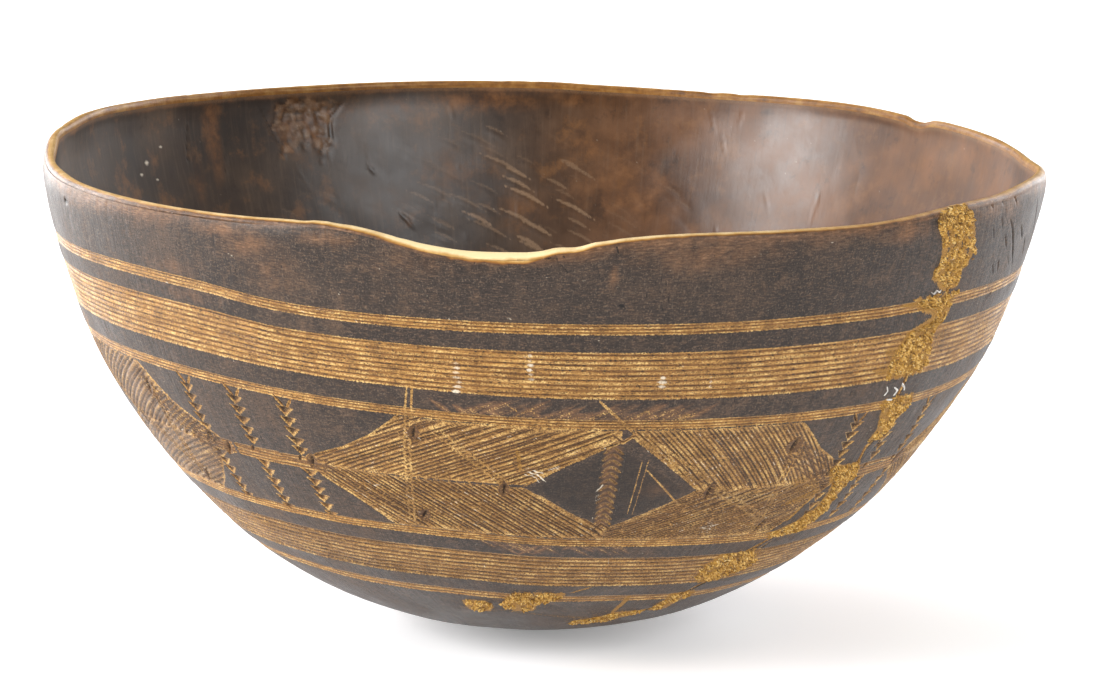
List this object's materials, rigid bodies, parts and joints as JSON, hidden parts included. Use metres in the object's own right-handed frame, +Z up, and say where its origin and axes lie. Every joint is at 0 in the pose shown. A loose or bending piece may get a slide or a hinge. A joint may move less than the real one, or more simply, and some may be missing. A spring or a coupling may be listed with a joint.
{
  "type": "carved wooden bowl",
  "caption": "Deep round bowl hollowed from one block of wood, with carved bands and a lozenge frieze outside, an uneven worn rim and a drying crack stopped with filler.",
  "frame": {"origin": "on the surface the bowl stands on, under the middle of its box", "axes": "+Z up through the open mouth; the cracked front with its dipped rim faces -Y; +X to the right of someone looking at that front"},
  "size_m": [0.3496, 0.3494, 0.1746],
  "materials": {
    "smoked_wood": "dark smoked and oiled wood, satin outside, polished by hand inside, worn to pale orange wood at the rim and cut to tan wood in the carving",
    "sawdust_filler": "set paste of sawdust and glue, matte, granular and golden"
  },
  "bodies": {
    "root": {"carved_bowl": "smoked_wood", "crack_filler_rim": "sawdust_filler", "crack_filler_upper_bands": "sawdust_filler", "crack_filler_frieze_top": "sawdust_filler", "crack_filler_frieze_foot": "sawdust_filler", "crack_filler_lower_band": "sawdust_filler", "crack_filler_foot_right": "sawdust_filler", "crack_filler_foot_front": "sawdust_filler", "crack_filler_foot_middle": "sawdust_filler", "crack_filler_foot_left": "sawdust_filler"}
  },
  "joints": []
}
